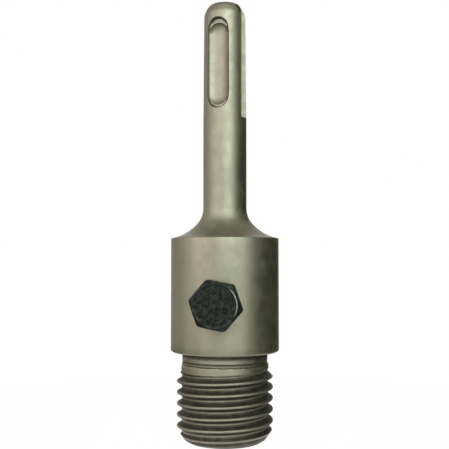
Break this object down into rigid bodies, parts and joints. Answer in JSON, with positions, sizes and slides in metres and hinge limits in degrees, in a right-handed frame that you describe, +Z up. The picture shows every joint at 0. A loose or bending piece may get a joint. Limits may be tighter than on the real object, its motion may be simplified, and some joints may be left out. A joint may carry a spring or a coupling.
{
  "type": "sds-plus adapter",
  "caption": "Hollow core drill arbor: slotted 10 mm shank, round collar with a radial hexagon clamp screw, and a coarse male thread with a pilot drill bore.",
  "frame": {"origin": "centre of the threaded end face, which is also the axis of the pilot bore", "axes": "+Z up from the threaded end to the slotted shank, -Y along the clamp screw towards its head"},
  "size_m": [0.0248, 0.0305, 0.1003],
  "materials": {
    "satin_steel": "satin, blasted and lightly oiled steel with a warm grey tint",
    "blackened_steel": "black oxide, semi-matt"
  },
  "bodies": {
    "adapter": {"adapter_body": "satin_steel"},
    "bolt": {"clamp_bolt": "blackened_steel"}
  },
  "joints": [
    {"name": "bolt_travel", "type": "slide", "parent": "adapter", "child": "bolt", "axis": [0, -1, 0], "range_m": [-0.0015, 0.007]}
  ]
}
